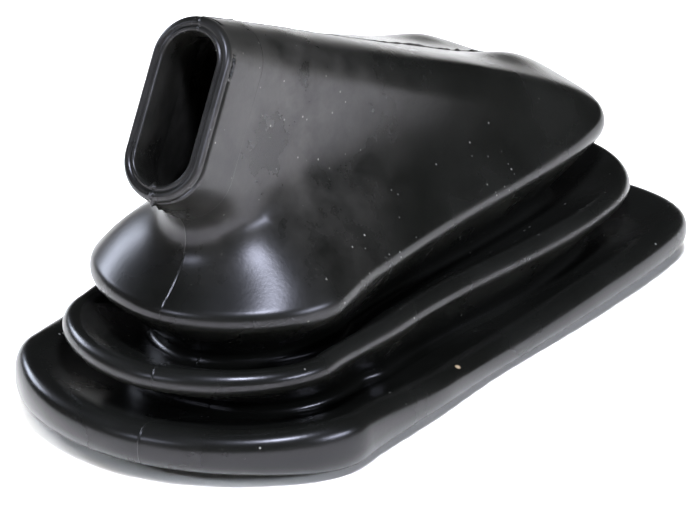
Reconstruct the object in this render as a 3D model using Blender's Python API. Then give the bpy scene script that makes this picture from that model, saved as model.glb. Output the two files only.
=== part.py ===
"""Handbrake gaiter: one hollow rubber moulding with three bellows folds, a sloping hood and a lever mouth.

Metres, +Z up. The foot stands on Z = 0, the lever mouth looks toward -X and the object is symmetric in Y.
Every section round the wall is worked out from rolls (convex, part of the rubber) and valleys (concave,
between the folds), joined by straight flanks that touch both circles.
"""

import math
from collections import namedtuple

import bmesh
import bpy
import numpy as np

MM = 0.001

# Plan of the base roll, over its outer edge
LENGTH = 197.1 * MM
FRONT_WIDTH = 103.2 * MM
WAIST_WIDTH = 108.8 * MM
REAR_WIDTH = 128.8 * MM
WAIST_FROM_NOSE = 72 * MM
NOSE_POWER = 1.78
TAIL_POWER = 3.4

# Rubber
WALL = 2.4 * MM
SMALLEST_FILLET = 0.4 * MM

# Base fold and foot lip
BASE_NOSE_CAP = 34 * MM
BASE_TAIL_CAP = 30 * MM
BASE_RADIUS = 4.6 * MM
BASE_UNDERSIDE = 4.5 * MM
BASE_TAIL_DROP = 2 * MM
BASE_RIPPLE = 1 * MM
RIPPLES_PER_SIDE = 4
FOOT_SIDE_INSET = 6.4 * MM
FOOT_NOSE_INSET = 12 * MM
FOOT_WIDTH = 9 * MM
FOOT_HEIGHT = 4.2 * MM
FOOT_EDGE = 0.7 * MM
BASE_TURNS_UNDER = math.radians(-95)

# Middle fold, stepped in from the base edge
MID_NOSE_STEP = 8.5 * MM
MID_SIDE_STEP = 12.7 * MM
MID_TAIL_STEP = 1.5 * MM
MID_NOSE_CAP = 30 * MM
MID_TAIL_CAP = 40 * MM
MID_TAIL_POWER = 2.8
MID_TAIL_RISE = 2 * MM
MID_RADIUS = 3.3 * MM
MID_UNDERSIDE_FRONT = 21.2 * MM
MID_UNDERSIDE_REAR = 15.1 * MM

# Upper fold, which is the hood's shoulder, stepped in from the base edge
UPPER_NOSE_STEP = 20.3 * MM
UPPER_FRONT_STEP = 15.1 * MM
UPPER_WAIST_STEP = 19.7 * MM
UPPER_REAR_STEP = 23.5 * MM
UPPER_TAIL_STEP = 9.2 * MM
UPPER_NOSE_CAP = 28 * MM
UPPER_TAIL_CAP = 18.5 * MM
UPPER_NOSE_RADIUS = 3.8 * MM
UPPER_SIDE_RADIUS = 4.5 * MM
UPPER_TAIL_RADIUS = 9 * MM
UPPER_UNDERSIDE_FRONT = 33 * MM
UPPER_UNDERSIDE_REAR = 29.5 * MM

# Valleys, stepped in from the edge of the fold above them
VALLEY_RADIUS = 2 * MM
LOW_VALLEY_NOSE_STEP = 25.5 * MM
LOW_VALLEY_SIDE_STEP = 8.2 * MM
LOW_VALLEY_TAIL_STEP = 15 * MM
LOW_VALLEY_NOSE_POWER = 2.4
LOW_VALLEY_FLOOR_FRONT = 5.5 * MM
LOW_VALLEY_FLOOR_REAR = 6.5 * MM
HIGH_VALLEY_NOSE_STEP = 13.7 * MM
HIGH_VALLEY_SIDE_STEP = 10.5 * MM
HIGH_VALLEY_TAIL_STEP = 15 * MM
HIGH_VALLEY_FLOOR_FRONT = 18.8 * MM
HIGH_VALLEY_FLOOR_REAR = 16.5 * MM

# Lever mouth: an obround opening in a collar that leans back. The places of its two lips and of the groove
# between them are parts of the rim's wall, from the bore at 0 to the outside at 1
MOUTH_LENGTH = 39.4 * MM
MOUTH_WIDTH = 15.4 * MM
RIM_END_WALL = 4.2 * MM
RIM_SIDE_WALL = 3.5 * MM
RIM_EDGE = 1.1 * MM
RIM_GROOVE = 0.5 * MM
OUTER_LIP = (0.9, 0.72)
GROOVE_EDGES = (0.58, 0.44)
INNER_LIP = (0.3, 0.1)
MOUTH_SETBACK = 30.3 * MM
MOUTH_HEIGHT = 90.2 * MM
MOUTH_TILT = math.radians(34)
COLLAR_LENGTH = 16 * MM
COLLAR_FLARE = 1.9 * MM
COLLAR_RISE = 0.7 * MM
COLLAR_STEP = 0.35 * MM

# Hood: where its skin leaves the upper roll, and how far its ends hold their direction
TAIL_LEAVES_AT = math.radians(70)
SIDE_LEAVES_AT = math.radians(35)
NOSE_LEAVES_AT = math.radians(58)
TAIL_HOLD = 25 * MM
SIDE_HOLD = 18 * MM
NOSE_HOLD = 16 * MM
RIDGE_HOLD = 45 * MM
CHEEK_HOLD = 26 * MM
THROAT_HOLD = 9 * MM

# Parts of the way round each side over which the tail's and the nose's own values fade into the side's
TAIL_PART = 0.3
NOSE_PART = 0.28

# A flank between two circles keeps at least this much slope, as the sine of its crossing angle
STEEPEST_CROSSING = 0.98

# Facets
RIBS = 60
CURVE_POINTS = 80
ROLL_STEPS = 6
BASE_ROLL_STEPS = 8
VALLEY_STEPS = 3
HOOD_STEPS = 12
INNER_ROLL_STEPS = 3
INNER_BASE_STEPS = 5
INNER_HOOD_STEPS = 6
SHARP_ANGLE = math.radians(50)

RUBBER_COLOUR = (0.012, 0.012, 0.011, 1)
RUBBER_ROUGHNESS = 0.42

Plan = namedtuple("Plan", "nose tail front waist rear nose_cap tail_cap nose_power tail_power")
Circle = namedtuple("Circle", "edge normal radius height")


def base_plan():
    return Plan(
        -LENGTH / 2,
        LENGTH / 2,
        FRONT_WIDTH / 2,
        WAIST_WIDTH / 2,
        REAR_WIDTH / 2,
        BASE_NOSE_CAP,
        BASE_TAIL_CAP,
        NOSE_POWER,
        TAIL_POWER,
    )


def stepped_in(plan, nose, front, waist, rear, tail, nose_cap=None, tail_cap=None):
    """The plan drawn in by these steps, with its own rounded ends where they are given."""
    return Plan(
        plan.nose + nose,
        plan.tail - tail,
        plan.front - front,
        plan.waist - waist,
        plan.rear - rear,
        nose_cap or plan.nose_cap,
        tail_cap or plan.tail_cap,
        plan.nose_power,
        plan.tail_power,
    )


def eased(part):
    part = np.clip(part, 0, 1)
    return part * part * (3 - 2 * part)


def side_width(plan, x):
    """Half width between the two rounded ends, through the front shoulder, the waist and the rear shoulder."""
    front_x = plan.nose + plan.nose_cap
    rear_x = plan.tail - plan.tail_cap
    waist_x = -LENGTH / 2 + WAIST_FROM_NOSE
    to_waist = eased((x - front_x) / (waist_x - front_x))
    to_rear = eased((x - waist_x) / (rear_x - waist_x))
    return plan.front + (plan.waist - plan.front) * to_waist + (plan.rear - plan.waist) * to_rear


def rounded_end(centre_x, reach, half_width, power, angle):
    """A superellipse quarter, from the axis at angle 0 to the side at a right angle."""
    x = centre_x + reach * np.cos(angle) ** (2 / power)
    y = half_width * np.sin(angle) ** (2 / power)
    return np.stack([x, y], axis=1)


def evenly_spaced(points, count):
    """The open line read again at this many points, the same distance apart along it."""
    steps = np.linalg.norm(np.diff(points, axis=0), axis=1)
    along = np.concatenate([[0], np.cumsum(steps)])
    wanted = np.linspace(0, along[-1], count)
    return np.stack([np.interp(wanted, along, column) for column in points.T], axis=1)


def whole_ring(half):
    """A half line from the tail over +Y to the nose, and its mirror image back to the tail."""
    other = half[-2:0:-1] * (1, -1)
    return np.concatenate([half, other])


def outline(plan):
    """The closed plan curve as RIBS points from the tail, counter-clockwise, and the outward normals."""
    quarter = np.linspace(0, math.pi / 2, CURVE_POINTS)
    rear_x = plan.tail - plan.tail_cap
    front_x = plan.nose + plan.nose_cap
    tail_end = rounded_end(rear_x, plan.tail_cap, plan.rear, plan.tail_power, quarter)
    nose_end = rounded_end(front_x, -plan.nose_cap, plan.front, plan.nose_power, quarter[::-1])
    side_x = np.linspace(rear_x, front_x, CURVE_POINTS)[1:-1]
    side = np.stack([side_x, side_width(plan, side_x)], axis=1)
    ring = whole_ring(evenly_spaced(np.concatenate([tail_end, side, nose_end]), RIBS // 2 + 1))
    tangent = np.roll(ring, -1, axis=0) - np.roll(ring, 1, axis=0)
    normal = np.stack([tangent[:, 1], -tangent[:, 0]], axis=1)
    return ring, normal / np.linalg.norm(normal, axis=1)[:, None]


def rib_fraction():
    """How far along its side each rib stands, from 0 at the tail to 1 at the nose."""
    index = np.arange(RIBS)
    return np.minimum(index, RIBS - index) / (RIBS / 2)


def by_rib(tail, side, nose):
    """A value for each rib that passes smoothly from the tail to the sides to the nose."""
    fraction = rib_fraction()
    at_tail = 1 - eased(fraction / TAIL_PART)
    at_nose = 1 - eased((1 - fraction) / NOSE_PART)
    return side + (tail - side) * at_tail + (nose - side) * at_nose


def level(x, front, rear):
    """A height that changes evenly along the base, from its nose to its tail."""
    return front + (rear - front) * (x + LENGTH / 2) / LENGTH


def roll(plan, radius, under_front, under_rear, lift=0):
    """A convex roll: its circles lie inside the plan edge and touch the underside level, or stand over it."""
    edge, normal = outline(plan)
    radius = radius + np.zeros(RIBS)
    centre = edge - normal * radius[:, None]
    height = level(edge[:, 0], under_front, under_rear) + radius + lift
    return Circle(centre, normal, radius, height)


def valley(plan, floor_front, floor_rear):
    """A concave valley: its circles lie outside the plan edge, in the air above the floor level."""
    edge, normal = outline(plan)
    radius = VALLEY_RADIUS + np.zeros(RIBS)
    centre = edge + normal * radius[:, None]
    height = level(edge[:, 0], floor_front, floor_rear) + radius
    return Circle(centre, normal, radius, height)


def base_lift():
    """The soft base edge stands in gentle waves along its two sides, and hangs lower at the tail."""
    along = rib_fraction()
    ripple = -BASE_RIPPLE * np.cos(2 * math.pi * RIPPLES_PER_SIDE * along) * np.sin(math.pi * along)
    return ripple + by_rib(-BASE_TAIL_DROP, 0, 0)


def flank_angle(first, second, turn):
    """Direction of the straight flank that crosses from one circle to the next, seen in each rib's section."""
    step = second.edge - first.edge
    outward = (step * first.normal).sum(axis=1)
    rise = second.height - first.height
    reach = np.hypot(outward, rise)
    cross = np.arcsin(np.clip((first.radius + second.radius) / reach, 0, STEEPEST_CROSSING))
    return np.mod(np.arctan2(rise, outward), 2 * math.pi) + turn * cross


def circle_ring(circle, angle, radius):
    """One ring of points, at this angle on every rib's circle."""
    point = circle.edge + circle.normal * (radius * np.cos(angle))[:, None]
    return np.column_stack([point, circle.height + radius * np.sin(angle)])


def arc(circle, start, end, steps, depth, hollow):
    """Rings along a circle's arc. A depth into the rubber shrinks a roll and widens a valley."""
    if hollow:
        radius = circle.radius + depth
    else:
        radius = np.maximum(circle.radius - depth, SMALLEST_FILLET)
    parts = np.linspace(0, 1, steps + 1)
    return [circle_ring(circle, start + (end - start) * part, radius) for part in parts]


def folds():
    """The five circles from the foot to the hood, and the flank directions between them."""
    base = base_plan()
    side = MID_SIDE_STEP
    mid = stepped_in(base, MID_NOSE_STEP, side, side, side, MID_TAIL_STEP, MID_NOSE_CAP, MID_TAIL_CAP)
    mid = mid._replace(tail_power=MID_TAIL_POWER)
    upper = stepped_in(
        base,
        UPPER_NOSE_STEP,
        UPPER_FRONT_STEP,
        UPPER_WAIST_STEP,
        UPPER_REAR_STEP,
        UPPER_TAIL_STEP,
        UPPER_NOSE_CAP,
        UPPER_TAIL_CAP,
    )
    side = LOW_VALLEY_SIDE_STEP
    low = stepped_in(mid, LOW_VALLEY_NOSE_STEP, side, side, side, LOW_VALLEY_TAIL_STEP)
    low = low._replace(nose_power=LOW_VALLEY_NOSE_POWER)
    side = HIGH_VALLEY_SIDE_STEP
    high = stepped_in(upper, HIGH_VALLEY_NOSE_STEP, side, side, side, HIGH_VALLEY_TAIL_STEP)
    upper_radius = by_rib(UPPER_TAIL_RADIUS, UPPER_SIDE_RADIUS, UPPER_NOSE_RADIUS)
    circles = [
        roll(base, BASE_RADIUS, BASE_UNDERSIDE, BASE_UNDERSIDE, base_lift()),
        valley(low, LOW_VALLEY_FLOOR_FRONT, LOW_VALLEY_FLOOR_REAR),
        roll(mid, MID_RADIUS, MID_UNDERSIDE_FRONT, MID_UNDERSIDE_REAR, by_rib(MID_TAIL_RISE, 0, 0)),
        valley(high, HIGH_VALLEY_FLOOR_FRONT, HIGH_VALLEY_FLOOR_REAR),
        roll(upper, upper_radius, UPPER_UNDERSIDE_FRONT, UPPER_UNDERSIDE_REAR),
    ]
    turns = (1, -1, 1, -1)
    flanks = [flank_angle(a, b, turn) for a, b, turn in zip(circles, circles[1:], turns)]
    return circles, flanks


def fold_rings(circles, flanks, depth, base_steps, roll_steps):
    """Rings over the folds, at this depth under the outer skin, from the foot to the hood."""
    quarter = math.pi / 2
    leaves_at = by_rib(TAIL_LEAVES_AT, SIDE_LEAVES_AT, NOSE_LEAVES_AT)
    base, low, mid, high, upper = circles
    off_base, to_mid, off_mid, to_upper = flanks
    rings = arc(base, BASE_TURNS_UNDER, off_base - quarter, base_steps, depth, False)
    rings += arc(low, off_base + quarter, to_mid + quarter, VALLEY_STEPS, depth, True)
    rings += arc(mid, to_mid - quarter, off_mid - quarter, roll_steps, depth, False)
    rings += arc(high, off_mid + quarter, to_upper + quarter, VALLEY_STEPS, depth, True)
    rings += arc(upper, to_upper - quarter, leaves_at, roll_steps, depth, False)
    return rings


def mouth_axis():
    """The direction out of the mouth, and the direction up its long axis."""
    out = np.array([-math.cos(MOUTH_TILT), 0, math.sin(MOUTH_TILT)])
    up = np.array([math.sin(MOUTH_TILT), 0, math.cos(MOUTH_TILT)])
    return out, up


def obround(half_length, half_width):
    """A ring with straight sides and round ends, from its top over +Y to its foot, as (up, across)."""
    straight = half_length - half_width
    angle = np.linspace(0, math.pi / 2, CURVE_POINTS)
    top = np.stack([straight + half_width * np.cos(angle), half_width * np.sin(angle)], axis=1)
    bottom = (top * (-1, 1))[::-1]
    return whole_ring(evenly_spaced(np.concatenate([top, bottom]), RIBS // 2 + 1))


def across_axis(half_length, half_width, behind, rise):
    """An obround ring square to the mouth's axis, this far behind the mouth plane."""
    out, up = mouth_axis()
    flat = obround(half_length, half_width)
    centre = np.array([-LENGTH / 2 + MOUTH_SETBACK, 0, MOUTH_HEIGHT])
    points = centre - behind * out + (flat[:, :1] + rise) * up
    points[:, 1] = flat[:, 1]
    return points


def mouth_ring(grow, behind):
    """The mouth's ring. It lies on the opening's edge at grow 0 and on the rim's outside at grow 1."""
    half_length = MOUTH_LENGTH / 2 + grow * RIM_END_WALL
    half_width = MOUTH_WIDTH / 2 + grow * RIM_SIDE_WALL
    return across_axis(half_length, half_width, behind, 0)


def collar_foot(step=0):
    """The ring where the collar meets the hood. It is flared and stands a little higher than the mouth."""
    half_length = MOUTH_LENGTH / 2 + RIM_END_WALL + COLLAR_FLARE - step
    half_width = MOUTH_WIDTH / 2 + RIM_SIDE_WALL + COLLAR_FLARE / 2 - step
    return across_axis(half_length, half_width, COLLAR_LENGTH, COLLAR_RISE)


def hood_rings(upper, depth, steps):
    """Rings along curved ribs from the upper roll to the foot of the collar."""
    leaves_at = by_rib(TAIL_LEAVES_AT, SIDE_LEAVES_AT, NOSE_LEAVES_AT)
    start = circle_ring(upper, leaves_at, upper.radius)
    off_roll = np.column_stack([-upper.normal * np.sin(leaves_at)[:, None], np.cos(leaves_at)])
    end = collar_foot(COLLAR_STEP)
    into_hood = collar_foot() - mouth_ring(1, 0)
    into_hood /= np.linalg.norm(into_hood, axis=1)[:, None]
    hold = by_rib(TAIL_HOLD, SIDE_HOLD, NOSE_HOLD)[:, None]
    far_hold = by_rib(RIDGE_HOLD, CHEEK_HOLD, THROAT_HOLD)[:, None]
    controls = (start, start + hold * off_roll, end + far_hold * into_hood, end)
    rings = []
    for part in np.linspace(0, 1, steps + 1)[1:]:
        rings.append(pushed_in(controls, part, depth))
    return rings


def pushed_in(controls, part, depth):
    """One ring of the cubic ribs at this part of their way, moved into the rubber along the skin's normal."""
    a, b, c, d = controls
    rest = 1 - part
    points = rest**3 * a + 3 * rest**2 * part * b + 3 * rest * part**2 * c + part**3 * d
    along = rest**2 * (b - a) + 2 * rest * part * (c - b) + part**2 * (d - c)
    around = np.roll(points, -1, axis=0) - np.roll(points, 1, axis=0)
    normal = np.cross(around, along)
    return points - depth * normal / np.linalg.norm(normal, axis=1)[:, None]


def collar_rings():
    """From the collar's foot over the rim, with its groove between two lips, and back into the bore."""
    outer_shoulder, outer_crest = OUTER_LIP
    inner_crest, inner_shoulder = INNER_LIP
    shoulder_depth = RIM_EDGE / 4
    return [
        collar_foot(),
        mouth_ring(1, 2 * RIM_EDGE),
        mouth_ring(1, RIM_EDGE),
        mouth_ring(outer_shoulder, shoulder_depth),
        mouth_ring(outer_crest, 0),
        mouth_ring(GROOVE_EDGES[0], RIM_GROOVE),
        mouth_ring(GROOVE_EDGES[1], RIM_GROOVE),
        mouth_ring(inner_crest, 0),
        mouth_ring(inner_shoulder, shoulder_depth),
        mouth_ring(0, RIM_EDGE),
        mouth_ring(0, COLLAR_LENGTH / 2),
    ]


def foot_ring(base, inward, height):
    """A ring of the foot, this far in from its outer wall, which stands further in under the nose."""
    inset = by_rib(FOOT_SIDE_INSET, FOOT_SIDE_INSET, FOOT_NOSE_INSET) + inward
    points = base.edge + base.normal * (base.radius - inset)[:, None]
    return np.column_stack([points, np.full(RIBS, height)])


def shell_rings():
    """Every ring round the wall's section: up the outer skin, over the rim and down the inner skin."""
    circles, flanks = folds()
    base, upper = circles[0], circles[-1]
    outer = [
        foot_ring(base, FOOT_WIDTH, FOOT_EDGE),
        foot_ring(base, FOOT_WIDTH - FOOT_EDGE, 0),
        foot_ring(base, FOOT_EDGE, 0),
        foot_ring(base, 0, FOOT_EDGE),
        foot_ring(base, 0, FOOT_HEIGHT),
    ]
    outer += fold_rings(circles, flanks, 0, BASE_ROLL_STEPS, ROLL_STEPS)
    outer += hood_rings(upper, 0, HOOD_STEPS)
    inner = fold_rings(circles, flanks, WALL, INNER_BASE_STEPS, INNER_ROLL_STEPS)
    inner += hood_rings(upper, WALL, INNER_HOOD_STEPS)
    floor = [
        foot_ring(base, WALL, FOOT_HEIGHT + WALL),
        foot_ring(base, WALL, WALL),
        foot_ring(base, FOOT_WIDTH - FOOT_EDGE, WALL),
        foot_ring(base, FOOT_WIDTH, WALL - FOOT_EDGE),
    ]
    return outer + collar_rings() + inner[::-1] + floor


def shell_mesh(rings):
    """Bridges each ring to the next, and the last to the first, into one closed skin."""
    mesh = bmesh.new()
    verts = [[mesh.verts.new(point) for point in ring] for ring in rings]
    for lower, higher in zip(verts, verts[1:] + verts[:1]):
        for i in range(RIBS):
            j = (i + 1) % RIBS
            mesh.faces.new((lower[i], lower[j], higher[j], higher[i]))
    data = bpy.data.meshes.new("gaiter")
    mesh.to_mesh(data)
    mesh.free()
    return data


def rubber():
    material = bpy.data.materials.new("rubber")
    material.use_nodes = True
    shader = material.node_tree.nodes["Principled BSDF"]
    shader.inputs["Base Color"].default_value = RUBBER_COLOUR
    shader.inputs["Roughness"].default_value = RUBBER_ROUGHNESS
    shader.inputs["Metallic"].default_value = 0
    return material


def main():
    for obj in list(bpy.data.objects):
        bpy.data.objects.remove(obj)
    data = shell_mesh(shell_rings())
    data.materials.append(rubber())
    data.shade_smooth()
    data.set_sharp_from_angle(angle=SHARP_ANGLE)
    gaiter = bpy.data.objects.new("gaiter", data)
    bpy.context.scene.collection.objects.link(gaiter)


main()
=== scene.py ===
"""Looks of the handbrake gaiter: its fine rubber skin, the marks of its mould, and plain studio light.

The skin follows the driving sizes of the solid. Its base edge and foot, its neck, its rim and the swell
beside the rear of the ridge have sizes of their own here. Metres, +Z up, lever mouth toward -X.
"""

import math
from collections import namedtuple

import bmesh
import bpy
import numpy as np
from mathutils import Matrix, Vector, noise


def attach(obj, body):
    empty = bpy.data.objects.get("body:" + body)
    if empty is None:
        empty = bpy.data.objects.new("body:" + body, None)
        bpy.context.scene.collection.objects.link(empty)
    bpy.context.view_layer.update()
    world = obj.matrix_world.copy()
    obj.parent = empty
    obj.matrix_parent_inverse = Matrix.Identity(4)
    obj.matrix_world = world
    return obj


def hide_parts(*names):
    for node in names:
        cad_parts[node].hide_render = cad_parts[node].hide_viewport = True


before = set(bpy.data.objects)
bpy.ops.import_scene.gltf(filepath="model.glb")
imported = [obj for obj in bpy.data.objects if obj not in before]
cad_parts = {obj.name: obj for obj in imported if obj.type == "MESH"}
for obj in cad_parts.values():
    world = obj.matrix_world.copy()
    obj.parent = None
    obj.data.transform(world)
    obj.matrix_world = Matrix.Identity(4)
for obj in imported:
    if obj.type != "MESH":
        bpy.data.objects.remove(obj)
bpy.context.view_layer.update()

MM = 0.001

# Plan of the base roll
LENGTH = 197.1 * MM
FRONT_WIDTH = 103.2 * MM
WAIST_WIDTH = 108.8 * MM
REAR_WIDTH = 128.8 * MM
WAIST_FROM_NOSE = 72 * MM
NOSE_POWER = 1.78
TAIL_POWER = 3.4

# Rubber
WALL = 2.4 * MM
SMALLEST_FILLET = 0.4 * MM

# Base fold and foot lip
BASE_NOSE_CAP = 34 * MM
BASE_TAIL_CAP = 30 * MM
BASE_RADIUS = 5 * MM
BASE_UNDERSIDE = 3.4 * MM
FOOT_SIDE_INSET = 9 * MM
FOOT_NOSE_INSET = 13 * MM
FOOT_WIDTH = 9 * MM
FOOT_HEIGHT = 4.2 * MM
FOOT_EDGE = 0.7 * MM
BASE_TURNS_UNDER = math.radians(-95)
BASE_TURNS_IN = math.radians(100)

# Soft base edge: its top and its lowest line at these parts of the way round each side, from tail to nose
EDGE_AT = (0, 0.27, 0.42, 0.52, 0.66, 0.76, 0.86, 0.93, 1)
EDGE_TOP = (11.4, 12.2, 11.6, 8.8, 11.2, 15.8, 15.4, 14.3, 14.8)
EDGE_FOOT = (2.5, 3, 2.8, 0.4, 2.9, 0.8, 3.1, 4.2, 4)
EDGE_POWER = 2.4
EDGE_SMOOTHINGS = 3

# Middle fold
MID_NOSE_STEP = 8.5 * MM
MID_SIDE_STEP = 12.7 * MM
MID_TAIL_STEP = 1.5 * MM
MID_NOSE_CAP = 30 * MM
MID_TAIL_CAP = 40 * MM
MID_TAIL_POWER = 2.8
MID_TAIL_RISE = 2 * MM
MID_RADIUS = 3.3 * MM
MID_UNDERSIDE_FRONT = 21.2 * MM
MID_UNDERSIDE_REAR = 15.1 * MM

# Upper fold
UPPER_NOSE_STEP = 20.3 * MM
UPPER_FRONT_STEP = 15.1 * MM
UPPER_WAIST_STEP = 19.7 * MM
UPPER_REAR_STEP = 23.5 * MM
UPPER_TAIL_STEP = 9.2 * MM
UPPER_NOSE_CAP = 28 * MM
UPPER_TAIL_CAP = 18.5 * MM
UPPER_NOSE_RADIUS = 3.8 * MM
UPPER_SIDE_RADIUS = 4.5 * MM
UPPER_TAIL_RADIUS = 9 * MM
UPPER_UNDERSIDE_FRONT = 33 * MM
UPPER_UNDERSIDE_REAR = 29.5 * MM

# Valleys
VALLEY_RADIUS = 2 * MM
LOW_VALLEY_NOSE_STEP = 25.5 * MM
LOW_VALLEY_SIDE_STEP = 8.2 * MM
LOW_VALLEY_TAIL_STEP = 15 * MM
LOW_VALLEY_NOSE_POWER = 2.4
LOW_VALLEY_FLOOR_FRONT = 5.5 * MM
LOW_VALLEY_FLOOR_REAR = 6.5 * MM
HIGH_VALLEY_NOSE_STEP = 13.7 * MM
HIGH_VALLEY_SIDE_STEP = 10.5 * MM
HIGH_VALLEY_TAIL_STEP = 15 * MM
HIGH_VALLEY_FLOOR_FRONT = 18.8 * MM
HIGH_VALLEY_FLOOR_REAR = 16.5 * MM

# Lever mouth
MOUTH_LENGTH = 39.4 * MM
MOUTH_WIDTH = 15.4 * MM
RIM_END_WALL = 4.2 * MM
RIM_SIDE_WALL = 3.5 * MM
RIM_EDGE = 1.1 * MM
RIM_GROOVE = 0.7 * MM
RIM_ROUND = 2 * MM
OUTER_CREST = 0.6
GROOVE_AT = 0.36
INNER_CREST = 0.2
MOUTH_SETBACK = 30.3 * MM
MOUTH_HEIGHT = 90.2 * MM
MOUTH_TILT = math.radians(34)
COLLAR_LENGTH = 16 * MM
COLLAR_FLARE = 1.9 * MM
COLLAR_RISE = 0.7 * MM
COLLAR_STEP = 0.3 * MM

# Hood
TAIL_LEAVES_AT = math.radians(70)
SIDE_LEAVES_AT = math.radians(35)
NOSE_LEAVES_AT = math.radians(58)
TAIL_HOLD = 25 * MM
SIDE_HOLD = 18 * MM
NOSE_HOLD = 20 * MM
RIDGE_HOLD = 45 * MM
CHEEK_HOLD = 26 * MM
THROAT_HOLD = 3 * MM

# Low swell on both sides of the rear of the ridge
SWELL_HEIGHT = 3 * MM
SWELL_X = 76 * MM
SWELL_Y = 14 * MM
SWELL_LENGTH = 14 * MM
SWELL_WIDTH = 8.5 * MM
SWELL_FROM_HEIGHT = 36 * MM
SWELL_FADE = 6 * MM

# Parting line: how far it stands from the middle plane at each level of the front
BASE_SEAM = -4.5 * MM
LOW_SEAM = -4.2 * MM
MID_SEAM = -3.7 * MM
HIGH_SEAM = -1.5 * MM
UPPER_SEAM = 0.6 * MM
FLASH_HEIGHT = 0.18 * MM
FLASH_HALF_WIDTH = 0.15 * MM
FLASH_MEAN = 0.75
FLASH_WANDER = 0.6
FLASH_WANDER_SIZE = 3 * MM
FLASH_SEED = 4

# Torn flash along the rear of the ridge and under the mouth's lower lip
Torn = namedtuple("Torn", "height mean swing most size seed")
RIDGE_TEAR = Torn(0.4 * MM, 0.4, 1.6, 1.4, 1.7 * MM, 9)
RIDGE_TEAR_FROM = 22 * MM
RIDGE_TEAR_TO = 88 * MM
RIDGE_TEAR_FADE = 8 * MM
LIP_TEAR = Torn(0.9 * MM, 0.5, 1.4, 1.3, 1.3 * MM, 5)
LIP_TEAR_HALF_WIDTH = 0.35 * MM
LIP_TEAR_FROM = 63 * MM
LIP_TEAR_TO = 75 * MM
LIP_TEAR_FADE = 2 * MM

# Short wrinkle under the neck
CREASE_FROM = (-63.1 * MM, -6.6 * MM, 51.9 * MM)
CREASE_TO = (-61 * MM, -10.4 * MM, 51 * MM)
CREASE_DEPTH = 0.6 * MM
CREASE_HALF_WIDTH = 0.6 * MM

# Soft unevenness of the skin
LUMP_SIZE = 30 * MM
LUMP_HEIGHT = 0.35 * MM
DIMPLE_SIZE = 9 * MM
DIMPLE_HEIGHT = 0.06 * MM
LUMP_SEED = 1
DIMPLE_SEED = 2
SEED_SHIFTS = (1, 2.3, 3.1)
CALM_X = -62 * MM
CALM_X_FADE = 30 * MM
CALM_HEIGHT = 50 * MM
CALM_HEIGHT_FADE = 20 * MM

# How values pass round a ring: the parts of a side near the tail and the nose, and how far smoothing reaches
TAIL_PART = 0.3
NOSE_FROM = 0.72
SEAM_DRAWS_WITHIN = 0.12
SMOOTHING_REACH = 6
STEEPEST_CROSSING = 0.98

# Facets
RIBS = 300
SEAM_STEPS = (0.08 * MM, 0.16 * MM, 0.24 * MM, 0.36 * MM, 0.6 * MM, 0.9 * MM)
ROLL_STEPS = 14
VALLEY_STEPS = 8
FLANK_STEPS = 7
HOOD_STEPS = 60
COLLAR_STEPS = 8
RIM_STEPS = 26
INNER_ROLL_STEPS = 6
INNER_FLANK_STEPS = 2
INNER_HOOD_STEPS = 24
LINE_STEPS = 400

# Rings that crowd at the collar's foot, as parts of the hood's and of the collar's way, and rings in the bore
NEAR_COLLAR = (0.99, 0.994, 0.9975)
COLLAR_FOOT_PARTS = (0, 0.006, 0.02)
COLLAR_WALL_FROM = 0.06
BORE_PARTS = (0.1, 0.4, 0.9)

# Camera, at the angle of the view that the looks are matched to
CAMERA_AZIMUTH = math.radians(-58.52)
CAMERA_ELEVATION = math.radians(25.38)
CAMERA_ROLL = math.radians(-1.62)
CAMERA_DISTANCE = 1.5674
CAMERA_LENS = 306.2
CAMERA_TARGET = Vector((12.55 * MM, 0, 14.6 * MM))
SENSOR_WIDTH = 36
VIEW_ENDS_AT = 20

# Light
COOL_LIGHT = (0.8, 0.87, 1)
ROOM_LIGHT = 0.03
PAPER = (0.9, 0.872, 0.825, 1)
PAPER_HALF_SIZE = 6
PAPER_LIGHT = 4.1
PAPER_LIGHT_SPREAD = 1.25
PAPER_LIGHT_TILT = (math.radians(-10), math.radians(-6), 0)
PAPER_ROUGHNESS = 0.75

# Soft lights: name, azimuth and elevation in degrees, distance, width, height and power
SOFTBOXES = (
    ("key", -46, 60, 1.2, 0.2, 0.2, 18),
    ("front", -6, 21, 1.3, 0.5, 0.12, 12),
    ("left", -110, 30, 1.3, 0.3, 0.15, 3),
    ("back", 170, 21, 1.4, 0.5, 0.2, 8),
)
SOFTBOX_TARGET = Vector((0, 0, 0.04))

# Colours of the rubber and of what lies on it
BLACK = (0.0045, 0.0046, 0.0038, 1)
WORN_BLACK = (0.0085, 0.0085, 0.0075, 1)
HAZE = (0.085, 0.078, 0.072, 1)
DUST = (0.26, 0.25, 0.23, 1)
SHEEN = (0.95, 0.91, 1, 1)
CLAY = (0.42, 0.31, 0.2, 1)

# Gloss and grain of the rubber. Scales are per metre, and each pair of noise limits fades from none to full
PATCH_SCALE = 28
WORN_LIMITS = (0.38, 0.68)
ROUGH_LIMITS = (0.35, 0.7)
ROUGHNESS = (0.22, 0.32)
SPECULAR_LEVEL = 0.3
GRAIN_SCALE = 900
GRAIN_RELIEF = 0.5
BUMP_STRENGTH = 0.35
BUMP_DISTANCE = 0.00012

# Haze on the two cheeks near the neck
HAZE_PLACES = ((-0.040, -0.020, 0.078), (-0.040, 0.020, 0.078))
HAZE_REACH = 0.052
HAZE_SCALE = 75
HAZE_LIMITS = (0.35, 0.75)
HAZE_COVERS = 0.6
HAZE_ROUGHNESS = 0.16

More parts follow.
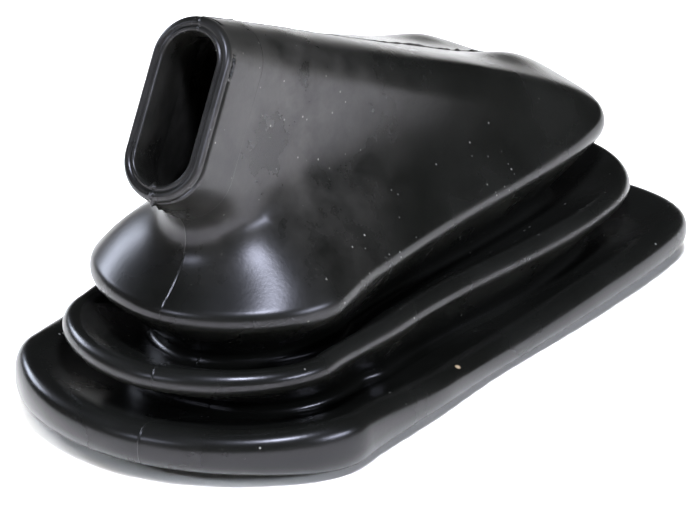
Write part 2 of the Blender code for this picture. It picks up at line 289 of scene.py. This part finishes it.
# Dust specks, and where they lie thick: the place and its reach
SPECK_SCALE = 720
SPECK_EDGE = (0.26, 0.1)
SPECK_STRENGTH = (0.25, 1)
SPECK_ROUGHNESS = 0.4
SPECK_RELIEF = 0.8
DUST_SCALE = 16
DUST_LIMITS = (0.48, 0.7)
DUST_SHARE = (0.004, 0.03)
DUSTY_SHARE = 0.13
DUSTY = (
    ((0.027, -0.0376, 0.037), 0.026),
    ((-0.008, -0.036, 0.037), 0.022),
    ((-0.03, -0.034, 0.04), 0.018),
    ((-0.054, -0.035, 0.039), 0.012),
    ((-0.042, -0.0535, 0.0125), 0.016),
    ((-0.035, -0.016, 0.07), 0.034),
)

# Tan crumbs on the base fold: the place and the radius
CRUMBS = (((-0.0215, -0.0523, 0.0105), 0.0011), ((0.0785, -0.0605, 0.0085), 0.0013))
CRUMB_EDGE = (0.1, 0.5)

Plan = namedtuple("Plan", "nose tail front waist rear nose_cap tail_cap nose_power tail_power")
Circle = namedtuple("Circle", "edge normal radius height")


def rib_stations():
    """Places round a ring as parts of its length from the tail, closer together at both parting lines."""
    near = np.array(SEAM_STEPS) / (2 * LENGTH + 2 * REAR_WIDTH)
    even = np.arange(RIBS) / RIBS
    return np.sort(np.concatenate([even, 0.5 - near, 0.5 + near, near, 1 - near]))


STATIONS = rib_stations()


def eased(part):
    """0 below 0 and 1 above 1, with a smooth rise between."""
    part = np.clip(part, 0, 1)
    return part * part * (3 - 2 * part)


def base_plan():
    """Plan of the base roll, from the driving sizes."""
    return Plan(
        -LENGTH / 2,
        LENGTH / 2,
        FRONT_WIDTH / 2,
        WAIST_WIDTH / 2,
        REAR_WIDTH / 2,
        BASE_NOSE_CAP,
        BASE_TAIL_CAP,
        NOSE_POWER,
        TAIL_POWER,
    )


def stepped_in(plan, nose, front, waist, rear, tail, nose_cap=None, tail_cap=None):
    """The plan drawn in by these steps, with its own rounded ends where they are given."""
    return Plan(
        plan.nose + nose,
        plan.tail - tail,
        plan.front - front,
        plan.waist - waist,
        plan.rear - rear,
        nose_cap or plan.nose_cap,
        tail_cap or plan.tail_cap,
        plan.nose_power,
        plan.tail_power,
    )


def side_width(plan, x):
    """Half width between the rounded ends, through the front shoulder, the waist and the rear shoulder."""
    front_x = plan.nose + plan.nose_cap
    rear_x = plan.tail - plan.tail_cap
    waist_x = -LENGTH / 2 + WAIST_FROM_NOSE
    to_waist = eased((x - front_x) / (waist_x - front_x))
    to_rear = eased((x - waist_x) / (rear_x - waist_x))
    return plan.front + (plan.waist - plan.front) * to_waist + (plan.rear - plan.waist) * to_rear


def rounded_end(centre_x, reach, half_width, power, angle):
    """A superellipse quarter, from the axis at angle 0 to the side at a right angle."""
    x = centre_x + reach * np.cos(angle) ** (2 / power)
    y = half_width * np.sin(angle) ** (2 / power)
    return np.stack([x, y], axis=1)


def spaced_line(points):
    """The open line read again at many points, the same distance apart."""
    along = np.concatenate([[0], np.cumsum(np.linalg.norm(np.diff(points, axis=0), axis=1))])
    wanted = np.linspace(0, along[-1], 2 * LINE_STEPS)
    return np.stack([np.interp(wanted, along, column) for column in points.T], axis=1)


def round_line(half, mirror):
    """The whole closed line from half of it, and how far along it each of its points is."""
    half = spaced_line(half)
    line = np.concatenate([half, half[-2::-1] * mirror])
    along = np.concatenate([[0], np.cumsum(np.linalg.norm(np.diff(line, axis=0), axis=1))])
    return line, along


def drawn_stations(total, seam):
    """Distances of the ribs along a ring. The nose rib is drawn aside, to where the parting line is."""
    near_nose = eased(1 - np.abs(STATIONS - 0.5) / SEAM_DRAWS_WITHIN)
    return STATIONS * total - seam * near_nose


def read_at(line, along, wanted):
    """The line's columns at these distances along it."""
    return np.stack([np.interp(wanted, along, column) for column in line.T], axis=1)


def outline(plan, seam):
    """The closed plan curve at each rib, counter-clockwise from the tail, and the outward normals."""
    quarter = np.linspace(0, math.pi / 2, LINE_STEPS)
    rear_x = plan.tail - plan.tail_cap
    front_x = plan.nose + plan.nose_cap
    tail_end = rounded_end(rear_x, plan.tail_cap, plan.rear, plan.tail_power, quarter)
    nose_end = rounded_end(front_x, -plan.nose_cap, plan.front, plan.nose_power, quarter[::-1])
    side_x = np.linspace(rear_x, front_x, LINE_STEPS)[1:-1]
    side = np.stack([side_x, side_width(plan, side_x)], axis=1)
    line, along = round_line(np.concatenate([tail_end, side, nose_end]), (1, -1))
    open_line = line[:-1]
    tangent = np.roll(open_line, -1, axis=0) - np.roll(open_line, 1, axis=0)
    normal = np.stack([tangent[:, 1], -tangent[:, 0]], axis=1)
    normal = smoothed(normal / np.linalg.norm(normal, axis=1)[:, None])
    normal = np.concatenate([normal, normal[:1]])
    wanted = drawn_stations(along[-1], seam)
    normal = read_at(normal, along, wanted)
    return read_at(line, along, wanted), normal / np.linalg.norm(normal, axis=1)[:, None]


def smoothed(rows):
    """Each row of a closed list, averaged with its near neighbours."""
    shifts = range(-SMOOTHING_REACH, SMOOTHING_REACH + 1)
    return sum(np.roll(rows, shift, axis=0) for shift in shifts) / len(shifts)


def rib_fraction():
    """How far along its side each rib stands, from 0 at the tail to 1 at the nose."""
    return 2 * np.minimum(STATIONS, 1 - STATIONS)


def by_rib(tail, side, nose):
    """A value for each rib that passes smoothly from the tail to the sides to the nose."""
    fraction = rib_fraction()
    at_tail = 1 - eased(fraction / TAIL_PART)
    at_nose = eased((fraction - NOSE_FROM) / (1 - NOSE_FROM))
    return side + (tail - side) * at_tail + (nose - side) * at_nose


def level(x, front, rear):
    """A height that changes evenly along the base, from its nose to its tail."""
    return front + (rear - front) * (x + LENGTH / 2) / LENGTH


def roll(plan, seam, radius, under_front, under_rear, lift=0):
    """A convex roll: its circles lie inside the plan edge and touch the underside level, or stand over it."""
    edge, normal = outline(plan, seam)
    radius = radius + np.zeros(len(STATIONS))
    centre = edge - normal * radius[:, None]
    height = level(edge[:, 0], under_front, under_rear) + radius + lift
    return Circle(centre, normal, radius, height)


def valley(plan, seam, floor_front, floor_rear):
    """A concave valley: its circles lie outside the plan edge, in the air above the floor level."""
    edge, normal = outline(plan, seam)
    radius = VALLEY_RADIUS + np.zeros(len(STATIONS))
    centre = edge + normal * radius[:, None]
    height = level(edge[:, 0], floor_front, floor_rear) + radius
    return Circle(centre, normal, radius, height)


def edge_heights(heights):
    """These heights of the base edge, in millimetres, passed smoothly from rib to rib."""
    height = np.interp(rib_fraction(), EDGE_AT, heights) * MM
    for _ in range(EDGE_SMOOTHINGS):
        height = smoothed(height)
    return height


def base_edge(base, start, end, steps, depth):
    """Rings round the soft base edge, which is squarer than a circle and waves up and down."""
    top, foot = edge_heights(EDGE_TOP), edge_heights(EDGE_FOOT)
    half_height = (top - foot) / 2 - depth
    rings = []
    for angle in np.linspace(start, end, steps + 1):
        out, rise = squared(math.cos(angle)), squared(math.sin(angle))
        point = base.edge + base.normal * out * (BASE_RADIUS - depth)
        rings.append(np.column_stack([point, (top + foot) / 2 + half_height * rise]))
    return rings


def squared(value):
    """A sine or cosine bent so that the circle it draws turns into a squarer, superelliptic one."""
    return math.copysign(abs(value) ** (2 / EDGE_POWER), value)


def flank_angle(first, second, turn):
    """Direction of the straight flank from one circle across to the next, seen in each rib's section."""
    step = second.edge - first.edge
    outward = (step * first.normal).sum(axis=1)
    rise = second.height - first.height
    reach = np.hypot(outward, rise)
    cross = np.arcsin(np.clip((first.radius + second.radius) / reach, 0, STEEPEST_CROSSING))
    return np.mod(np.arctan2(rise, outward), 2 * math.pi) + turn * cross


def circle_ring(circle, angle, radius):
    """One ring of points, at this angle on every rib's circle."""
    point = circle.edge + circle.normal * (radius * np.cos(angle))[:, None]
    return np.column_stack([point, circle.height + radius * np.sin(angle)])


def arc(circle, start, end, steps, depth, hollow):
    """Rings along a circle's arc. A depth into the rubber shrinks a roll and widens a valley."""
    if hollow:
        radius = circle.radius + depth
    else:
        radius = np.maximum(circle.radius - depth, SMALLEST_FILLET)
    parts = np.linspace(0, 1, steps + 1)
    return [circle_ring(circle, start + (end - start) * part, radius) for part in parts]


def folds():
    """The five circles from the foot to the hood, and the flank directions between them."""
    base = base_plan()
    side = MID_SIDE_STEP
    mid = stepped_in(base, MID_NOSE_STEP, side, side, side, MID_TAIL_STEP, MID_NOSE_CAP, MID_TAIL_CAP)
    mid = mid._replace(tail_power=MID_TAIL_POWER)
    upper = stepped_in(
        base,
        UPPER_NOSE_STEP,
        UPPER_FRONT_STEP,
        UPPER_WAIST_STEP,
        UPPER_REAR_STEP,
        UPPER_TAIL_STEP,
        UPPER_NOSE_CAP,
        UPPER_TAIL_CAP,
    )
    side = LOW_VALLEY_SIDE_STEP
    low = stepped_in(mid, LOW_VALLEY_NOSE_STEP, side, side, side, LOW_VALLEY_TAIL_STEP)
    low = low._replace(nose_power=LOW_VALLEY_NOSE_POWER)
    side = HIGH_VALLEY_SIDE_STEP
    high = stepped_in(upper, HIGH_VALLEY_NOSE_STEP, side, side, side, HIGH_VALLEY_TAIL_STEP)
    upper_radius = by_rib(UPPER_TAIL_RADIUS, UPPER_SIDE_RADIUS, UPPER_NOSE_RADIUS)
    mid_lift = by_rib(MID_TAIL_RISE, 0, 0)
    circles = [
        roll(base, BASE_SEAM, BASE_RADIUS, BASE_UNDERSIDE, BASE_UNDERSIDE),
        valley(low, LOW_SEAM, LOW_VALLEY_FLOOR_FRONT, LOW_VALLEY_FLOOR_REAR),
        roll(mid, MID_SEAM, MID_RADIUS, MID_UNDERSIDE_FRONT, MID_UNDERSIDE_REAR, mid_lift),
        valley(high, HIGH_SEAM, HIGH_VALLEY_FLOOR_FRONT, HIGH_VALLEY_FLOOR_REAR),
        roll(upper, UPPER_SEAM, upper_radius, UPPER_UNDERSIDE_FRONT, UPPER_UNDERSIDE_REAR),
    ]
    turns = (1, -1, 1, -1)
    flanks = [flank_angle(a, b, turn) for a, b, turn in zip(circles, circles[1:], turns)]
    return circles, flanks


def joined(sections, steps):
    """The sections' rings in one list, with rings along the straight flank between each two sections."""
    rings = list(sections[0])
    for section in sections[1:]:
        last, first = rings[-1], section[0]
        for k in range(1, steps + 1):
            part = k / (steps + 1)
            rings.append(last + (first - last) * part)
        rings += section
    return rings


def fold_rings(circles, flanks, depth, roll_steps, valley_steps, flank_steps):
    """Rings over the folds, at this depth under the outer skin, from the foot to the hood."""
    quarter = math.pi / 2
    leaves_at = by_rib(TAIL_LEAVES_AT, SIDE_LEAVES_AT, NOSE_LEAVES_AT)
    base, low, mid, high, upper = circles
    off_base, to_mid, off_mid, to_upper = flanks
    sections = [
        base_edge(base, BASE_TURNS_UNDER, BASE_TURNS_IN, 2 * roll_steps, depth),
        arc(low, off_base + quarter, to_mid + quarter, valley_steps, depth, True),
        arc(mid, to_mid - quarter, off_mid - quarter, roll_steps, depth, False),
        arc(high, off_mid + quarter, to_upper + quarter, valley_steps, depth, True),
        arc(upper, to_upper - quarter, leaves_at, roll_steps, depth, False),
    ]
    return joined(sections, flank_steps)


def mouth_axis():
    """The direction out of the mouth, and the direction up its long axis."""
    out = np.array([-math.cos(MOUTH_TILT), 0, math.sin(MOUTH_TILT)])
    up = np.array([math.sin(MOUTH_TILT), 0, math.cos(MOUTH_TILT)])
    return out, up


def obround(half_length, half_width):
    """A ring with straight sides and round ends, from its top over +Y to its foot, as (up, across)."""
    straight = half_length - half_width
    angle = np.linspace(0, math.pi / 2, LINE_STEPS // 2)
    top = np.stack([straight + half_width * np.cos(angle), half_width * np.sin(angle)], axis=1)
    line, along = round_line(np.concatenate([top, (top * (-1, 1))[::-1]]), (1, -1))
    return read_at(line, along, drawn_stations(along[-1], 0))


def across_axis(half_length, half_width, behind, rise):
    """An obround ring square to the mouth's axis, this far behind the mouth plane."""
    out, up = mouth_axis()
    flat = obround(half_length, half_width)
    centre = np.array([-LENGTH / 2 + MOUTH_SETBACK, 0, MOUTH_HEIGHT])
    points = centre - behind * out + (flat[:, :1] + rise) * up
    points[:, 1] = flat[:, 1]
    return points


def mouth_ring(grow, behind):
    """The mouth's ring. It lies on the opening's edge at grow 0 and on the rim's outside at grow 1."""
    half_length = MOUTH_LENGTH / 2 + grow * RIM_END_WALL
    half_width = MOUTH_WIDTH / 2 + grow * RIM_SIDE_WALL
    return across_axis(half_length, half_width, behind, 0)


def collar_foot(step=0):
    """The ring where the collar meets the hood. It is flared and stands a little higher than the mouth."""
    half_length = MOUTH_LENGTH / 2 + RIM_END_WALL + COLLAR_FLARE - step
    half_width = MOUTH_WIDTH / 2 + RIM_SIDE_WALL + COLLAR_FLARE / 2 - step
    return across_axis(half_length, half_width, COLLAR_LENGTH, COLLAR_RISE)


def hood_rings(upper, depth, steps):
    """Rings along curved ribs from the upper roll to the foot of the collar."""
    leaves_at = by_rib(TAIL_LEAVES_AT, SIDE_LEAVES_AT, NOSE_LEAVES_AT)
    start = circle_ring(upper, leaves_at, upper.radius)
    off_roll = np.column_stack([-upper.normal * np.sin(leaves_at)[:, None], np.cos(leaves_at)])
    end = collar_foot(COLLAR_STEP)
    into_hood = collar_foot() - mouth_ring(1, 0)
    into_hood /= np.linalg.norm(into_hood, axis=1)[:, None]
    hold = by_rib(TAIL_HOLD, SIDE_HOLD, NOSE_HOLD)[:, None]
    far_hold = by_rib(RIDGE_HOLD, CHEEK_HOLD, THROAT_HOLD)[:, None]
    controls = (start, start + hold * off_roll, end + far_hold * into_hood, end)
    parts = np.concatenate([np.linspace(0, 1, steps + 1)[1:-1], NEAR_COLLAR, [1]])
    return [pushed_in(controls, part, depth) for part in parts]


def swell(rings):
    """How far the skin stands up beside the rear of the ridge."""
    x, y, z = rings[:, :, 0], np.abs(rings[:, :, 1]), rings[:, :, 2]
    along = np.exp(-(((x - SWELL_X) / SWELL_LENGTH) ** 2))
    across = np.exp(-(((y - SWELL_Y) / SWELL_WIDTH) ** 2))
    return SWELL_HEIGHT * along * across * eased((z - SWELL_FROM_HEIGHT) / SWELL_FADE)


def pushed_in(controls, part, depth):
    """One ring of the cubic ribs at this part of their way, moved into the rubber along the skin's normal."""
    a, b, c, d = controls
    rest = 1 - part
    points = rest**3 * a + 3 * rest**2 * part * b + 3 * rest * part**2 * c + part**3 * d
    along = rest**2 * (b - a) + 2 * rest * part * (c - b) + part**2 * (d - c)
    around = np.roll(points, -1, axis=0) - np.roll(points, 1, axis=0)
    normal = np.cross(around, along)
    return points - depth * normal / np.linalg.norm(normal, axis=1)[:, None]


def collar_rings():
    """From the collar's foot to the rim."""
    foot, end = collar_foot(), mouth_ring(1, RIM_ROUND)
    parts = np.concatenate([COLLAR_FOOT_PARTS, np.linspace(COLLAR_WALL_FROM, 1, COLLAR_STEPS)])
    return [foot + (end - foot) * part for part in parts]


def off_crest(depth, across):
    """How far a bead's surface has dropped: nothing on its crest, and this depth at 1 or -1 across."""
    return depth * (1 - math.sqrt(max(0, 1 - across**2)))


def rim_drop(grow):
    """How far behind the mouth plane the rim lies: a broad outer bead, a groove and a narrow inner bead."""
    if grow > OUTER_CREST:
        return off_crest(RIM_ROUND, (grow - OUTER_CREST) / (1 - OUTER_CREST))
    if grow > GROOVE_AT:
        return off_crest(RIM_GROOVE, (grow - OUTER_CREST) / (OUTER_CREST - GROOVE_AT))
    if grow > INNER_CREST:
        return off_crest(RIM_GROOVE, (grow - INNER_CREST) / (GROOVE_AT - INNER_CREST))
    return off_crest(RIM_EDGE, (grow - INNER_CREST) / INNER_CREST)


def rim_rings():
    """Over the rim from its outside, and back into the bore."""
    grown = (1 + np.cos(np.linspace(0, math.pi, RIM_STEPS + 1))) / 2
    rings = [mouth_ring(grow, rim_drop(grow)) for grow in grown]
    rings += [mouth_ring(0, RIM_EDGE + behind * COLLAR_LENGTH / 2) for behind in BORE_PARTS]
    return rings


def foot_ring(base, inward, height):
    """A ring of the foot, this far in from its outer wall, which stands further in under the nose."""
    inset = by_rib(FOOT_SIDE_INSET, FOOT_SIDE_INSET, FOOT_NOSE_INSET) + inward
    points = base.edge + base.normal * (base.radius - inset)[:, None]
    return np.column_stack([points, np.full(len(STATIONS), height)])


def shell_rings():
    """Every ring round the wall's section, and how many of them, from the foot up, are the outer skin."""
    circles, flanks = folds()
    base, upper = circles[0], circles[-1]
    foot = [
        foot_ring(base, FOOT_WIDTH, FOOT_EDGE),
        foot_ring(base, FOOT_WIDTH - FOOT_EDGE, 0),
        foot_ring(base, FOOT_EDGE, 0),
        foot_ring(base, 0, FOOT_EDGE),
        foot_ring(base, 0, FOOT_HEIGHT),
    ]
    skin = fold_rings(circles, flanks, 0, ROLL_STEPS, VALLEY_STEPS, FLANK_STEPS)
    skin += hood_rings(upper, 0, HOOD_STEPS)
    inner = fold_rings(circles, flanks, WALL, INNER_ROLL_STEPS, INNER_ROLL_STEPS, INNER_FLANK_STEPS)
    inner += hood_rings(upper, WALL, INNER_HOOD_STEPS)
    floor = [
        foot_ring(base, WALL, FOOT_HEIGHT + WALL),
        foot_ring(base, WALL, WALL),
        foot_ring(base, FOOT_WIDTH - FOOT_EDGE, WALL),
        foot_ring(base, FOOT_WIDTH, WALL - FOOT_EDGE),
    ]
    collar = collar_rings()
    rings = foot + skin + collar + rim_rings() + inner[::-1] + floor
    return np.array(rings), len(foot), len(foot) + len(skin) + len(collar)


def skin_normals(rings):
    """Outward normal at every point of the closed net of rings."""
    around = np.roll(rings, -1, axis=1) - np.roll(rings, 1, axis=1)
    along = np.roll(rings, -1, axis=0) - np.roll(rings, 1, axis=0)
    normal = np.cross(around, along)
    return normal / np.linalg.norm(normal, axis=2)[:, :, None]


def noise_over(points, size, seed):
    """Soft noise from -1 to 1 at each point, with lumps of this size."""
    offset = Vector([seed * shift for shift in SEED_SHIFTS])
    flat = points.reshape(-1, 3) / size
    values = [noise.noise(Vector(point) + offset) for point in flat]
    return np.array(values).reshape(points.shape[:2])


def from_rib(rings, station):
    """Distance of each point from one rib, along its own ring."""
    index = int(np.argmin(np.abs(STATIONS - station)))
    steps = np.linalg.norm(np.roll(rings, -1, axis=1) - rings, axis=2)
    ahead = np.roll(steps, -index, axis=1)
    forward = np.concatenate([np.zeros((len(rings), 1)), np.cumsum(ahead, axis=1)[:, :-1]], axis=1)
    total = steps.sum(axis=1)[:, None]
    return np.roll(np.minimum(forward, total - forward), index, axis=1)


def between(values, low, high, fade):
    """1 between these two limits, with a smooth fade to 0 just inside each."""
    return eased((values - low) / fade) * eased((high - values) / fade)


def beside_rib(rings, station, half_width):
    """1 on this rib, falling off as a bell to both sides."""
    return np.exp(-((from_rib(rings, station) / half_width) ** 2))


def torn_height(rings, torn):
    """Ragged height of a torn edge, which comes down to nothing in places."""
    part = torn.mean + torn.swing * noise_over(rings, torn.size, torn.seed)
    return np.clip(part, 0, torn.most) * torn.height


def flash(rings):
    """Height of the thin parting line in front and over the ridge, torn at the lip and the ridge's rear."""
    wander = FLASH_MEAN + FLASH_WANDER * noise_over(rings, FLASH_WANDER_SIZE, FLASH_SEED)
    front = beside_rib(rings, 0.5, FLASH_HALF_WIDTH)
    ridge = beside_rib(rings, 0, FLASH_HALF_WIDTH)
    x, z = rings[:, :, 0], rings[:, :, 2]
    top = z > UPPER_UNDERSIDE_FRONT
    on_ridge = between(x, RIDGE_TEAR_FROM, RIDGE_TEAR_TO, RIDGE_TEAR_FADE) * top
    under_lip = between(z, LIP_TEAR_FROM, LIP_TEAR_TO, LIP_TEAR_FADE)
    ridge_tear = ridge * on_ridge * torn_height(rings, RIDGE_TEAR)
    lip_tear = beside_rib(rings, 0.5, LIP_TEAR_HALF_WIDTH) * under_lip * torn_height(rings, LIP_TEAR)
    return FLASH_HEIGHT * wander * (front + ridge) + ridge_tear + lip_tear


def crease(rings):
    """Depth of the short wrinkle where the neck meets the shelf on the near side."""
    start = np.array(CREASE_FROM)
    along = np.array(CREASE_TO) - start
    part = np.clip(((rings - start) @ along) / (along @ along), 0, 1)
    away = np.linalg.norm(rings - start - part[:, :, None] * along, axis=2)
    return CREASE_DEPTH * np.exp(-((away / CREASE_HALF_WIDTH) ** 2))


def unevenness(rings):
    """The skin's soft lumps, which fade out toward the crisp collar."""
    fade = eased((rings[:, :, 0] - CALM_X) / CALM_X_FADE)
    fade = np.maximum(fade, eased((CALM_HEIGHT - rings[:, :, 2]) / CALM_HEIGHT_FADE))
    lumps = LUMP_HEIGHT * noise_over(rings, LUMP_SIZE, LUMP_SEED)
    dimples = DIMPLE_HEIGHT * noise_over(rings, DIMPLE_SIZE, DIMPLE_SEED)
    return (lumps + dimples) * fade


def detailed_rings():
    """Every ring, with the swell, and with the small forms on the outer skin and over the rim."""
    rings, first, last = shell_rings()
    rings[:, :, 2] += swell(rings)
    last += RIM_STEPS
    skin = rings[first:last]
    normals = skin_normals(rings)[first:last]
    rings[first:last] = skin + normals * (unevenness(skin) + flash(skin) - crease(skin))[:, :, None]
    return rings


def net_mesh(name, rings):
    """Bridges each ring to the next, and the last to the first, into one closed skin."""
    mesh = bmesh.new()
    verts = [[mesh.verts.new(point) for point in ring] for ring in rings]
    count = len(rings[0])
    for lower, higher in zip(verts, verts[1:] + verts[:1]):
        for i in range(count):
            j = (i + 1) % count
            mesh.faces.new((lower[i], lower[j], higher[j], higher[i]))
    data = bpy.data.meshes.new(name)
    mesh.to_mesh(data)
    mesh.free()
    data.shade_smooth()
    return data


def linked(name, data):
    """A new object of this data, in the scene."""
    obj = bpy.data.objects.new(name, data)
    bpy.context.scene.collection.objects.link(obj)
    return obj


class Nodes:
    """Makes and links shader nodes in a few words."""

    def __init__(self, material):
        material.use_nodes = True
        self.tree = material.node_tree
        self.shader = self.tree.nodes["Principled BSDF"]

    def add(self, kind, **settings):
        node = self.tree.nodes.new(kind)
        for key, value in settings.items():
            setattr(node, key, value)
        return node

    def link(self, source, target):
        self.tree.links.new(source, target)

    def noise(self, where, scale, detail=4, rough=0.5):
        node = self.add("ShaderNodeTexNoise")
        self.link(where, node.inputs["Vector"])
        node.inputs["Scale"].default_value = scale
        node.inputs["Detail"].default_value = detail
        node.inputs["Roughness"].default_value = rough
        return node.outputs["Fac"]

    def range(self, value, low, high, to_low=0.0, to_high=1.0):
        node = self.add("ShaderNodeMapRange", clamp=True)
        self.link(value, node.inputs["Value"])
        for key, number in (("From Min", low), ("From Max", high), ("To Min", to_low), ("To Max", to_high)):
            node.inputs[key].default_value = number
        return node.outputs["Result"]

    def math(self, operation, first, second):
        node = self.add("ShaderNodeMath", operation=operation)
        for socket, value in zip(node.inputs, (first, second)):
            if isinstance(value, (int, float)):
                socket.default_value = value
            else:
                self.link(value, socket)
        return node.outputs[0]

    def mix(self, part, first, second):
        node = self.add("ShaderNodeMix", data_type="RGBA")
        self.link(part, node.inputs["Factor"])
        for socket, value in zip((node.inputs[6], node.inputs[7]), (first, second)):
            if isinstance(value, tuple):
                socket.default_value = value
            else:
                self.link(value, socket)
        return node.outputs[2]

    def near(self, where, centre, radius):
        """1 at this place of the object, fading to 0 at the radius."""
        away = self.add("ShaderNodeVectorMath", operation="DISTANCE")
        self.link(where, away.inputs[0])
        away.inputs[1].default_value = centre
        return self.range(away.outputs["Value"], radius, 0)


def rubber_material():
    """Black moulded rubber: satin, hazed where hands and dust have been, with specks and fine scuffs."""
    material = bpy.data.materials.new("gaiter_rubber")
    n = Nodes(material)
    where = n.add("ShaderNodeTexCoord").outputs["Object"]
    broad = n.noise(where, PATCH_SCALE, 5, 0.55)
    fine = n.noise(where, GRAIN_SCALE, 3, 0.6)
    colour = n.mix(n.range(broad, *WORN_LIMITS), BLACK, WORN_BLACK)
    haze = haze_mask(n, where)
    colour = n.mix(n.math("MULTIPLY", haze, HAZE_COVERS), colour, HAZE)
    specks = speck_mask(n, where)
    colour = n.mix(specks, colour, DUST)
    colour = n.mix(crumb_mask(n, where), colour, CLAY)
    n.link(colour, n.shader.inputs["Base Color"])
    rough = n.range(broad, *ROUGH_LIMITS, *ROUGHNESS)
    rough = n.math("ADD", rough, n.math("MULTIPLY", haze, HAZE_ROUGHNESS))
    rough = n.math("ADD", rough, n.math("MULTIPLY", specks, SPECK_ROUGHNESS))
    n.link(rough, n.shader.inputs["Roughness"])
    n.shader.inputs["Specular IOR Level"].default_value = SPECULAR_LEVEL
    n.shader.inputs["Specular Tint"].default_value = SHEEN
    bump = n.add("ShaderNodeBump")
    bump.inputs["Strength"].default_value = BUMP_STRENGTH
    bump.inputs["Distance"].default_value = BUMP_DISTANCE
    grain = n.math("MULTIPLY", fine, GRAIN_RELIEF)
    relief = n.math("ADD", grain, n.math("MULTIPLY", specks, SPECK_RELIEF))
    n.link(relief, bump.inputs["Height"])
    n.link(bump.outputs["Normal"], n.shader.inputs["Normal"])
    return material


def haze_mask(n, where):
    """Grey-brown haze on the cheeks near the neck, broken up by noise."""
    left, right = [n.near(where, place, HAZE_REACH) for place in HAZE_PLACES]
    both = n.math("MAXIMUM", left, right)
    broken = n.range(n.noise(where, HAZE_SCALE, 6, 0.65), *HAZE_LIMITS)
    return n.math("MULTIPLY", both, broken)


def speck_mask(n, where):
    """Small pale dust specks, thick in a few places."""
    cells = n.add("ShaderNodeTexVoronoi", feature="F1")
    n.link(where, cells.inputs["Vector"])
    cells.inputs["Scale"].default_value = SPECK_SCALE
    dots = n.range(cells.outputs["Distance"], *SPECK_EDGE)
    split = n.add("ShaderNodeSeparateColor")
    n.link(cells.outputs["Color"], split.inputs["Color"])
    share = n.range(n.noise(where, DUST_SCALE, 3, 0.6), *DUST_LIMITS, *DUST_SHARE)
    for centre, reach in DUSTY:
        share = n.math("MAXIMUM", share, n.math("MULTIPLY", n.near(where, centre, reach), DUSTY_SHARE))
    chosen = n.math("GREATER_THAN", split.outputs["Red"], n.math("SUBTRACT", 1.0, share))
    strength = n.range(split.outputs["Green"], 0, 1, *SPECK_STRENGTH)
    return n.math("MULTIPLY", n.math("MULTIPLY", dots, strength), chosen)


def crumb_mask(n, where):
    """Two tan crumbs stuck to the skin of the base fold."""
    first, second = [n.near(where, place, radius) for place, radius in CRUMBS]
    return n.range(n.math("MAXIMUM", first, second), *CRUMB_EDGE)


def gaiter():
    """The skin that stands for the whole moulding."""
    obj = linked("gaiter_skin", net_mesh("gaiter_skin", detailed_rings()))
    obj.data.materials.append(rubber_material())
    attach(obj, "root")
    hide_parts("gaiter")


def direction(azimuth, elevation):
    """The way from the object toward a place at this azimuth and elevation round it."""
    level_part = math.cos(elevation)
    return Vector((math.sin(azimuth) * level_part, -math.cos(azimuth) * level_part, math.sin(elevation)))


def camera():
    """The scene's camera, at the photograph's viewing angle."""
    roll_angle = CAMERA_ROLL
    back = direction(CAMERA_AZIMUTH, CAMERA_ELEVATION)
    right = Vector((math.cos(CAMERA_AZIMUTH), math.sin(CAMERA_AZIMUTH), 0))
    up = back.cross(right)
    across = right * math.cos(roll_angle) + up * math.sin(roll_angle)
    upright = -right * math.sin(roll_angle) + up * math.cos(roll_angle)
    matrix = Matrix((across, upright, back)).transposed().to_4x4()
    matrix.translation = CAMERA_TARGET + CAMERA_DISTANCE * back
    data = bpy.data.cameras.new("camera")
    data.sensor_width = SENSOR_WIDTH
    data.lens = CAMERA_LENS
    data.clip_end = VIEW_ENDS_AT
    obj = linked("camera", data)
    obj.matrix_world = matrix
    bpy.context.scene.camera = obj


def softbox(name, azimuth, elevation, distance, width, height, power):
    """An area light that faces the object, from this direction round it."""
    back = direction(math.radians(azimuth), math.radians(elevation))
    data = bpy.data.lights.new(name, "AREA")
    data.shape = "RECTANGLE"
    data.size, data.size_y = width, height
    data.energy = power
    data.color = COOL_LIGHT
    obj = linked(name, data)
    obj.location = SOFTBOX_TARGET + distance * back
    obj.rotation_euler = (-back).to_track_quat("-Z", "Y").to_euler()


def floor_light(floor):
    """A broad soft light from above that reaches the paper alone, so the black rubber keeps its dark room."""
    data = bpy.data.lights.new("paper_light", "SUN")
    data.energy = PAPER_LIGHT
    data.angle = PAPER_LIGHT_SPREAD
    obj = linked("paper_light", data)
    obj.rotation_euler = PAPER_LIGHT_TILT
    lit = bpy.data.collections.new("lit_paper")
    lit.objects.link(floor)
    obj.light_linking.receiver_collection = lit


def room():
    """A dim, even room round the paper."""
    world = bpy.data.worlds.new("room")
    world.use_nodes = True
    background = world.node_tree.nodes["Background"]
    background.inputs["Color"].default_value = (1, 1, 1, 1)
    background.inputs["Strength"].default_value = ROOM_LIGHT
    return world


def studio():
    """A pale floor that runs out of sight, soft lights round the object, and a dim room."""
    data = bpy.data.meshes.new("floor")
    side = PAPER_HALF_SIZE
    corners = [(-side, -side, 0), (side, -side, 0), (side, side, 0), (-side, side, 0)]
    data.from_pydata(corners, [], [(0, 1, 2, 3)])
    floor = linked("floor", data)
    material = bpy.data.materials.new("floor_paper")
    shader = Nodes(material).shader
    shader.inputs["Base Color"].default_value = PAPER
    shader.inputs["Roughness"].default_value = PAPER_ROUGHNESS
    data.materials.append(material)
    floor_light(floor)
    for box in SOFTBOXES:
        softbox(*box)
    bpy.context.scene.world = room()
    bpy.context.scene.view_settings.view_transform = "Standard"


camera()
gaiter()
studio()
